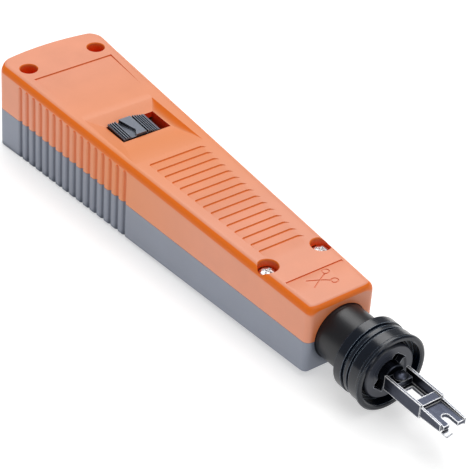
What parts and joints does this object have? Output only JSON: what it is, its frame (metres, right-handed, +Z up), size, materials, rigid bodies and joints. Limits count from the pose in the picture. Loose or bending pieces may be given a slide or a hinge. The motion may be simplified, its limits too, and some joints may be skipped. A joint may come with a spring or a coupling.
{
  "type": "punch down tool",
  "caption": "Impact punch down tool: tapered two-part grip with force slider, sprung plunger, ringed collar and forked wire-seating blade with a side cutter.",
  "frame": {"origin": "bottom centre of the bounding box, on the surface the tool lies on", "axes": "+X towards the blade tip (the tool's axis points 0.63 degrees below it), +Z up with the force slider on top, +Y to the side opposite the cutter"},
  "size_m": [0.1854, 0.0356, 0.0275],
  "materials": {
    "orange_plastic": "satin moulded, lightly glossy on rounded edges",
    "grey_plastic": "satin moulded blue-grey",
    "slate_plastic": "satin dark slate",
    "black_plastic": "glossy black",
    "nylon": "natural nylon",
    "rubber": "matte",
    "steel": "bright machined",
    "spring_steel": "drawn wire",
    "dark_steel": "dark blue-grey hardened steel"
  },
  "bodies": {
    "housing": {"upper_shell": "orange_plastic", "lower_shell": "grey_plastic", "front_screw_left": "steel", "front_screw_right": "steel", "rear_screw_left": "steel", "rear_screw_right": "steel", "guide_sleeve": "nylon", "trip_ramp": "steel", "buffer_washer": "rubber", "selector_detent_spring": "spring_steel", "hammer_spring": "spring_steel"},
    "plunger": {"plunger_barrel": "black_plastic", "collar": "black_plastic", "bayonet_disc": "slate_plastic", "anvil_stem": "steel", "release_pin": "steel", "retaining_clip": "spring_steel", "return_spring": "spring_steel", "blade_spring": "spring_steel"},
    "hammer": {"hammer": "steel", "latch_spring": "spring_steel"},
    "latch": {"trip_latch": "dark_steel"},
    "selector": {"force_slider": "slate_plastic", "selector_wedge": "dark_steel"},
    "spring_seat": {"spring_seat": "nylon"},
    "blade": {"blade_hub": "dark_steel", "blade_fork": "dark_steel", "cutting_blade": "steel", "blade_rivet": "dark_steel"}
  },
  "joints": [
    {"name": "plunger_slide", "type": "slide", "parent": "housing", "child": "plunger", "axis": [-0.9999, 0, 0.011], "range_m": [0, 0.008], "stiffness_N_per_m": 4000, "springref_m": -0.012},
    {"name": "hammer_slide", "type": "slide", "parent": "housing", "child": "hammer", "axis": [-0.9999, 0, 0.011], "range_m": [0, 0.008], "deforming": ["hammer_spring"]},
    {"name": "latch_drop", "type": "slide", "parent": "hammer", "child": "latch", "axis": [-0.011, 0, -0.9999], "range_m": [0, 0.0012], "deforming": ["latch_spring"]},
    {"name": "force_selector", "type": "slide", "parent": "housing", "child": "selector", "axis": [0, 1, 0], "range_m": [0, 0.003], "deforming": ["selector_detent_spring"]},
    {"name": "spring_seat_shift", "type": "slide", "parent": "housing", "child": "spring_seat", "axis": [0.9999, 0, -0.011], "range_m": [0, 0.0015]},
    {"name": "blade_twist", "type": "hinge", "parent": "plunger", "child": "blade", "pos_m": [0.05742, 0, 0.01127], "axis": [0.9999, 0, -0.011], "range_deg": [0, 50]}
  ],
  "couplings": [
    {"joint": "hammer_slide", "follows": "plunger_slide", "ratio": 1},
    {"joint": "latch_drop", "follows": "plunger_slide", "ratio": 0.15},
    {"joint": "spring_seat_shift", "follows": "force_selector", "ratio": 0.5}
  ]
}
